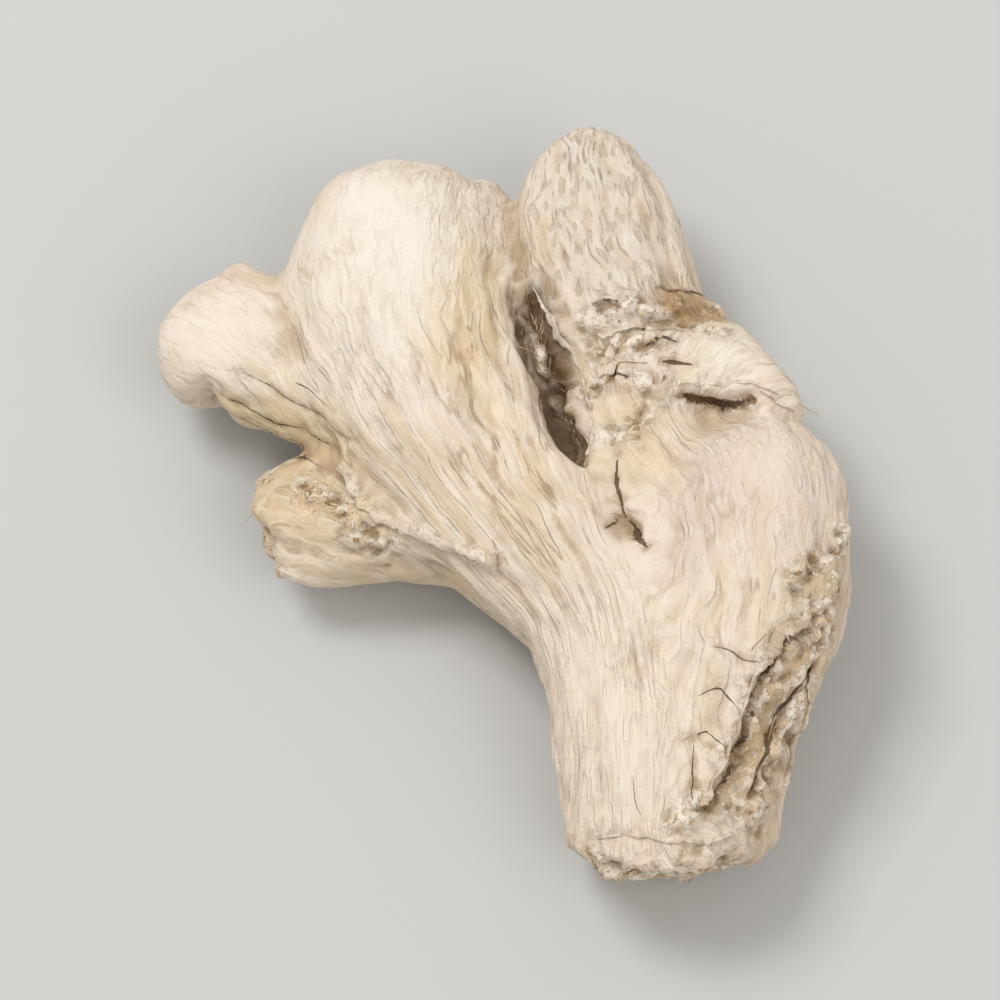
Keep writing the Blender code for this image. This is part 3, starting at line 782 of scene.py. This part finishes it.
def shred(width, lift, side, line, seed):
    """Rings of points round one thin shred, from one end to the other, and their number in the skin."""
    line = np.array(line, float)
    run = np.concatenate([[0], np.cumsum(np.linalg.norm(np.diff(line, axis=0), axis=1))])
    stops = np.arange(0, run[-1], SHRED_STEP)
    middle = np.stack([np.interp(stops, run, line[:, axis]) for axis in range(3)], axis=1)
    nearest = [((points - place) ** 2).sum(axis=1).argmin() for place in middle]
    foot, up = soft_row(points[nearest]), soft_row(normals[nearest])
    ahead = np.gradient(foot, axis=0)
    outward = side * np.cross(ahead / np.linalg.norm(ahead, axis=1)[:, None], up)
    broad = np.clip(0.36 + 1.6 * lattice_noise(middle / 3.2, seed), 0.05, 1.05)
    jags = broad * (0.6 + np.abs(lattice_noise(middle / 0.7, seed + 1))) + 0.12
    widths = (width * np.sqrt(np.sin(np.pi * (stops + 0.1) / (run[-1] + 0.2))) * jags)[:, None]
    wave = 0.3 * lattice_noise(middle / 0.9, seed + 2)[:, None]
    over, under = [], []
    for share in (-0.35, 0.0, 0.35, 0.7, 1.0):
        rise = (lift + wave) * share**2 + 0.10 if share >= 0 else -0.30
        row = foot + outward * widths * share + up * rise
        half = 0.5 * SHRED_THICKNESS * (1 - 0.6 * max(share, 0))
        over.append(row + half * up)
        under.append(row - half * up)
    return np.stack(over + under[::-1], axis=1), nearest


shred_points, shred_faces, shred_across, shred_tints = [], [], [], []
for number, (width, lift, side, line) in enumerate(SHREDS):
    rings, nearest = shred(width, lift, side, line, 300 + 10 * number)
    first = len(shred_points)
    count, around = rings.shape[:2]
    shred_points += rings.reshape(-1, 3).tolist()
    shred_across += np.repeat(across[nearest], around).tolist()
    tone = 0.94 + 0.10 * lattice_noise(rings.reshape(-1, 3) / 1.2, 45)[:, None]
    shred_tints += (np.repeat(soft_row(skin_tint[nearest]), around, axis=0) * tone).tolist()
    for ring in range(count - 1):
        for place in range(around):
            after = (place + 1) % around
            corner = first + ring * around
            next_ring = corner + around
            shred_faces.append((corner + place, corner + after, next_ring + after, next_ring + place))
    shred_faces.append(tuple(range(first, first + around)))
    shred_faces.append(tuple(range(first + (count - 1) * around, first + count * around)))
shred_mesh = bpy.data.meshes.new("torn_skin")
shred_points = np.clip(np.array(shred_points), low, high) * MM
shred_mesh.from_pydata(shred_points.tolist(), [], shred_faces)
whole = bmesh.new()
whole.from_mesh(shred_mesh)
bmesh.ops.recalc_face_normals(whole, faces=whole.faces)
whole.to_mesh(shred_mesh)
whole.free()
keep_triples(shred_mesh, "tint", "FLOAT_COLOR", shred_tints)
keep_numbers(shred_mesh, "across", np.array(shred_across))
keep_numbers(shred_mesh, "scar", np.full(len(shred_points), 0.35))
keep_numbers(shred_mesh, "crack_open", np.full(len(shred_points), -2.0))
shred_mesh.shade_smooth()
shred_mesh.materials.append(skin_material)
torn_skin = bpy.data.objects.new("torn_skin", shred_mesh)
bpy.context.scene.collection.objects.link(torn_skin)
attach(torn_skin, "root")

# Crumbs of the scars: small flat chips of dead scale that still cling where a finger or a leaf broke
# away. They are brittle, tan to brown, and lie on the skin at all angles.
CRUMBS_PER_SQUARE_MM = 0.6
CRUMB_SIZE = 0.32


def scatter_tree(name, inputs):
    """An empty Geometry Nodes tree with a mesh in, a mesh out and these named inputs."""
    tree = bpy.data.node_groups.new(name, "GeometryNodeTree")
    tree.interface.new_socket("Geometry", in_out="INPUT", socket_type="NodeSocketGeometry")
    for label, kind in inputs:
        tree.interface.new_socket(label, in_out="INPUT", socket_type=kind)
    tree.interface.new_socket("Geometry", in_out="OUTPUT", socket_type="NodeSocketGeometry")
    entry = tree.nodes.new("NodeGroupInput")
    return tree, {output.name: Paint(tree, output) for output in entry.outputs if output.name}


def scattered_piece(name, tree, values):
    """A plain mesh object of what the tree scatters over the root's skin."""
    carrier = bpy.data.objects.new(name, root_mesh)
    bpy.context.scene.collection.objects.link(carrier)
    modifier = carrier.modifiers.new("scatter", "NODES")
    modifier.node_group = tree
    for item in tree.interface.items_tree:
        if item.in_out == "INPUT" and item.name in values:
            modifier[item.identifier] = values[item.name]
    mesh = bpy.data.meshes.new_from_object(carrier.evaluated_get(bpy.context.evaluated_depsgraph_get()))
    bpy.data.objects.remove(carrier, do_unlink=True)
    mesh.name = name
    inside = np.clip(vertex_array(mesh), np.array(solid_box[0]), np.array(solid_box[1]))
    set_vertices(mesh, inside)
    piece = bpy.data.objects.new(name, mesh)
    bpy.context.scene.collection.objects.link(piece)
    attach(piece, "root")
    return piece


def strewn_over(start, place, density, seed):
    """Points on the mesh where that mesh value is high, and the way that each faces."""
    share = start.node("GeometryNodeInputNamedAttribute", {"data_type": "FLOAT"}, {"Name": place})
    values = {"Mesh": start, "Density": share * density, "Seed": seed}
    strewn = start.node("GeometryNodeDistributePointsOnFaces", None, values)
    return strewn, Paint(start.tree, strewn.socket.node.outputs["Rotation"])


def drawn_triple(start, low, high):
    """Three random numbers for each point, between those limits."""
    return start.node("FunctionNodeRandomValue", {"data_type": "FLOAT_VECTOR"}, {0: low, 1: high})


def tilted(start, lying, low, high):
    """Those rotations, each turned further by random angles between those limits."""
    turn = start.node("FunctionNodeEulerToRotation", None, {0: drawn_triple(start, low, high)})
    values = {"Rotation": lying, "Rotate By": turn}
    return start.node("FunctionNodeRotateRotation", {"rotation_space": "LOCAL"}, values)


def laid_out(start, strewn, shape, turned, size, shades):
    """The shape at each point, made real, with a random shade between those two kept on it."""
    values = {"Points": strewn, "Instance": shape, "Rotation": turned, "Scale": size}
    placed = start.node("GeometryNodeInstanceOnPoints", None, values)
    shade = start.node("FunctionNodeRandomValue", None, {2: shades[0], 3: shades[1]}, out=1)
    settings = {"data_type": "FLOAT", "domain": "INSTANCE"}
    values = {"Geometry": placed, "Name": "shade", "Value": shade}
    placed = start.node("GeometryNodeStoreNamedAttribute", settings, values)
    return start.node("GeometryNodeRealizeInstances", None, {0: placed})


def finish_bent(start, pieces, wave_mm, push_mm, material):
    """Bends the pieces by noise of that wave length and reach, and ends the tree with the material."""
    here = start.node("GeometryNodeInputPosition")
    values = {"Vector": here, "Scale": 1 / (wave_mm * MM)}
    push = start.node("ShaderNodeTexNoise", None, values, out="Color")
    push = start.node("ShaderNodeVectorMath", {"operation": "SUBTRACT"}, {0: push, 1: (0.5, 0.5, 0.5)})
    push = start.node("ShaderNodeVectorMath", {"operation": "SCALE"}, {0: push, "Scale": push_mm * MM})
    bent = start.node("GeometryNodeSetPosition", None, {"Geometry": pieces, "Offset": push})
    done = start.node("GeometryNodeSetMaterial", None, {"Geometry": bent, "Material": material})
    start.tree.links.new(done.socket, start.tree.nodes.new("NodeGroupOutput").inputs[0])


def crumb_tree():
    """Flattened chips strewn where the mesh value 'crumbly' is high."""
    labels = [(label, "NodeSocketFloat") for label in ("Density", "Size")]
    tree, given = scatter_tree("scar_crumbs", [*labels, ("Material", "NodeSocketMaterial")])
    start = given["Geometry"]
    strewn, lying = strewn_over(start, "crumbly", given["Density"], 5)
    turned = tilted(start, lying, (-0.7, -0.7, -3.1), (0.7, 0.7, 3.1))
    size = drawn_triple(start, (0.4, 0.3, 0.10), (2.0, 1.3, 0.30))
    chip = start.node("GeometryNodeMeshIcoSphere", None, {"Radius": given["Size"], "Subdivisions": 1})
    chips = laid_out(start, strewn, chip, turned, size, (0.15, 1.0))
    finish_bent(start, chips, 0.5, 0.5, given["Material"])
    return tree


def crumb_material():
    """Dead scale: cream to brown from chip to chip, dull and grainy."""
    material = bpy.data.materials.new("dead_scale")
    material.use_nodes = True
    tree = material.node_tree
    shader = tree.nodes["Principled BSDF"]
    paint = Paint(tree)
    place = paint.node("ShaderNodeTexCoord", out="Object")
    shade = paint.own("shade", "Fac")
    stops = [
        (0.0, (0.73, 0.63, 0.49)),
        (0.5, (0.63, 0.50, 0.35)),
        (0.85, (0.45, 0.32, 0.18)),
        (1.0, (0.25, 0.15, 0.07)),
    ]
    colour = paint.node("ShaderNodeValToRGB", {"stops": stops}, {0: shade})
    grains = paint.noise(place, 0.35, 3.0, 0.6)
    colour = colour.mixed(grains.step(0.45, 0.7) * 0.4, (0.40, 0.29, 0.17, 1.0))
    tree.links.new(colour.socket, shader.inputs["Base Color"])
    bump = tree.nodes.new("ShaderNodeBump")
    bump.inputs["Strength"].default_value = 0.6
    bump.inputs["Distance"].default_value = 0.1 * MM
    tree.links.new(grains.socket, bump.inputs["Height"])
    tree.links.new(bump.outputs["Normal"], shader.inputs["Normal"])
    shader.inputs["Roughness"].default_value = 0.9
    shader.inputs["Specular IOR Level"].default_value = 0.2
    return material


dead_scale = crumb_material()
scar_crumbs = scattered_piece(
    "scar_crumbs",
    crumb_tree(),
    {"Density": CRUMBS_PER_SQUARE_MM / MM**2, "Size": CRUMB_SIZE * MM, "Material": dead_scale},
)

# Torn fibres: tough strands of the root's core that stuck out when it was split and broken. They are
# thin, tan, and curl where they dried, mostly in the cleft, under the collar's flap and at the foot.
FIBRES_PER_SQUARE_MM = 0.8
FIBRE_LENGTH = 2.0
FIBRE_RADIUS = 0.05


def fibre_tree():
    """Thin tapering strands that lie roughly along the grain where the mesh value 'torn' is high."""
    labels = [(label, "NodeSocketFloat") for label in ("Density", "Length", "Radius")]
    tree, given = scatter_tree("torn_fibres", [*labels, ("Material", "NodeSocketMaterial")])
    start = given["Geometry"]
    strewn, lying = strewn_over(start, "torn", given["Density"], 8)
    settings = {"data_type": "FLOAT_VECTOR"}
    grain_way = start.node("GeometryNodeInputNamedAttribute", settings, {"Name": "fibres"})
    values = {"Rotation": lying, "Vector": grain_way}
    along = start.node("FunctionNodeAlignRotationToVector", {"axis": "X"}, values)
    turned = tilted(start, along, (-0.5, -0.75, -0.6), (0.5, 0.25, 0.6))
    end = start.node("ShaderNodeCombineXYZ", None, {0: given["Length"]})
    line = start.node("GeometryNodeCurvePrimitiveLine", None, {"End": end})
    line = start.node("GeometryNodeResampleCurve", None, {"Curve": line, "Count": 6})
    share = start.node("GeometryNodeSplineParameter")
    line = start.node("GeometryNodeSetCurveRadius", None, {"Curve": line, "Radius": 1.0 - 0.8 * share})
    values = {"Resolution": 3, "Radius": given["Radius"]}
    ring = start.node("GeometryNodeCurvePrimitiveCircle", None, values)
    values = {"Curve": line, "Profile Curve": ring, "Fill Caps": True}
    strand = start.node("GeometryNodeCurveToMesh", None, values)
    size = drawn_triple(start, (0.35, 0.7, 0.7), (1.3, 1.5, 1.5))
    strands = laid_out(start, strewn, strand, turned, size, (0.6, 1.0))
    finish_bent(start, strands, 2.0, 1.6, given["Material"])
    return tree


torn_fibres = scattered_piece(
    "torn_fibres",
    fibre_tree(),
    {
        "Density": FIBRES_PER_SQUARE_MM / MM**2,
        "Length": FIBRE_LENGTH * MM,
        "Radius": FIBRE_RADIUS * MM,
        "Material": dead_scale,
    },
)

# The floor: a plain pale sheet that the root lies on, for the picture only.
floor_mesh = bpy.data.meshes.new("floor")
FLOOR_REACH = 3
FLOOR_DROP = 1e-4
sides = [(-1, -1), (1, -1), (1, 1), (-1, 1)]
corners = [(x * FLOOR_REACH, y * FLOOR_REACH, -FLOOR_DROP) for x, y in sides]
floor_mesh.from_pydata(corners, [], [(0, 1, 2, 3)])
floor = bpy.data.objects.new("floor", floor_mesh)
bpy.context.scene.collection.objects.link(floor)
floor_material = bpy.data.materials.new("pale_floor")
floor_material.use_nodes = True
floor_shader = floor_material.node_tree.nodes["Principled BSDF"]
floor_shader.inputs["Base Color"].default_value = (0.50, 0.50, 0.49, 1.0)
floor_shader.inputs["Roughness"].default_value = 0.9
floor_mesh.materials.append(floor_material)

# The camera and the light: the photograph looks down on the root, with soft light from beyond it.
CAMERA_ELEVATION = math.radians(68)
CAMERA_DISTANCE = 0.55
camera_data = bpy.data.cameras.new("camera")
camera_data.lens = 210
camera_data.clip_start = 0.01
camera = bpy.data.objects.new("camera", camera_data)
bpy.context.scene.collection.objects.link(camera)
aim = Vector((0.0, 0.001, 0.009))
back_and_up = Vector((0, -math.cos(CAMERA_ELEVATION), math.sin(CAMERA_ELEVATION)))
camera.location = aim + CAMERA_DISTANCE * back_and_up
camera.rotation_euler = Euler((math.pi / 2 - CAMERA_ELEVATION, 0, 0))
bpy.context.scene.camera = camera


def area_light(name, direction, distance, size, power, colour):
    data = bpy.data.lights.new(name, "AREA")
    data.size = size
    data.energy = power
    data.color = colour
    light = bpy.data.objects.new(name, data)
    light.location = Vector(direction).normalized() * distance
    light.rotation_euler = Vector(direction).to_track_quat("Z", "Y").to_euler()
    bpy.context.scene.collection.objects.link(light)


area_light("window", (-0.42, 0.30, 0.86), 0.8, 0.30, 3.5, (0.99, 0.995, 1.0))
area_light("fill", (0.6, -0.5, 0.9), 0.9, 0.6, 2.0, (1.0, 1.0, 1.0))
world = bpy.data.worlds.new("studio")
bpy.context.scene.world = world
world.use_nodes = True
world.node_tree.nodes["Background"].inputs["Color"].default_value = (1.0, 0.975, 0.94, 1.0)
world.node_tree.nodes["Background"].inputs["Strength"].default_value = 0.69
bpy.context.scene.view_settings.view_transform = "Standard"
